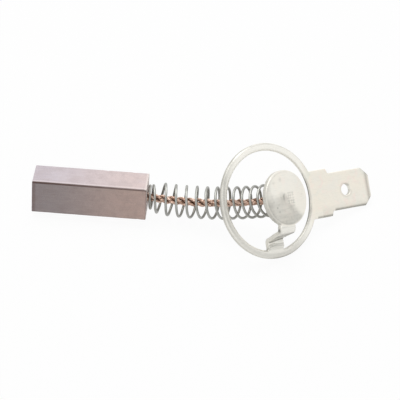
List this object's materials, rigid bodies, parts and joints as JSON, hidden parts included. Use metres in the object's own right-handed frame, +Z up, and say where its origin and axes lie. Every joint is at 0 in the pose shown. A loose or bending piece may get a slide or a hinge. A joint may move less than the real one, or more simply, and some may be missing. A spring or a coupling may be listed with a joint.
{
  "type": "carbon brush",
  "caption": "Sprung carbon brush: a square copper-graphite block on a coil spring and a twisted copper pigtail, held by a stamped ring terminal with a push-on tab.",
  "frame": {"origin": "middle of the bounding box's foot, on the surface that the brush lies on", "axes": "+Z up from that surface; +X, seen from above, runs along the block from its contact face to the terminal"},
  "size_m": [0.055, 0.0209, 0.0142],
  "materials": {
    "copper_graphite": "satin",
    "tamped_copper": "matte",
    "bare_copper": "satin",
    "spring_steel": "satin",
    "tinned_brass": "satin"
  },
  "bodies": {
    "holder_side": {"terminal": "tinned_brass", "coil_spring": "spring_steel", "pigtail": "bare_copper"},
    "brush": {"carbon_block": "copper_graphite", "contact_fill": "tamped_copper"}
  },
  "joints": [
    {"name": "brush_slide", "type": "slide", "parent": "holder_side", "child": "brush", "axis": [0.9997, 0, 0.0247], "range_m": [0, 0.008], "stiffness_N_per_m": 250, "deforming": ["coil_spring", "pigtail"]}
  ]
}
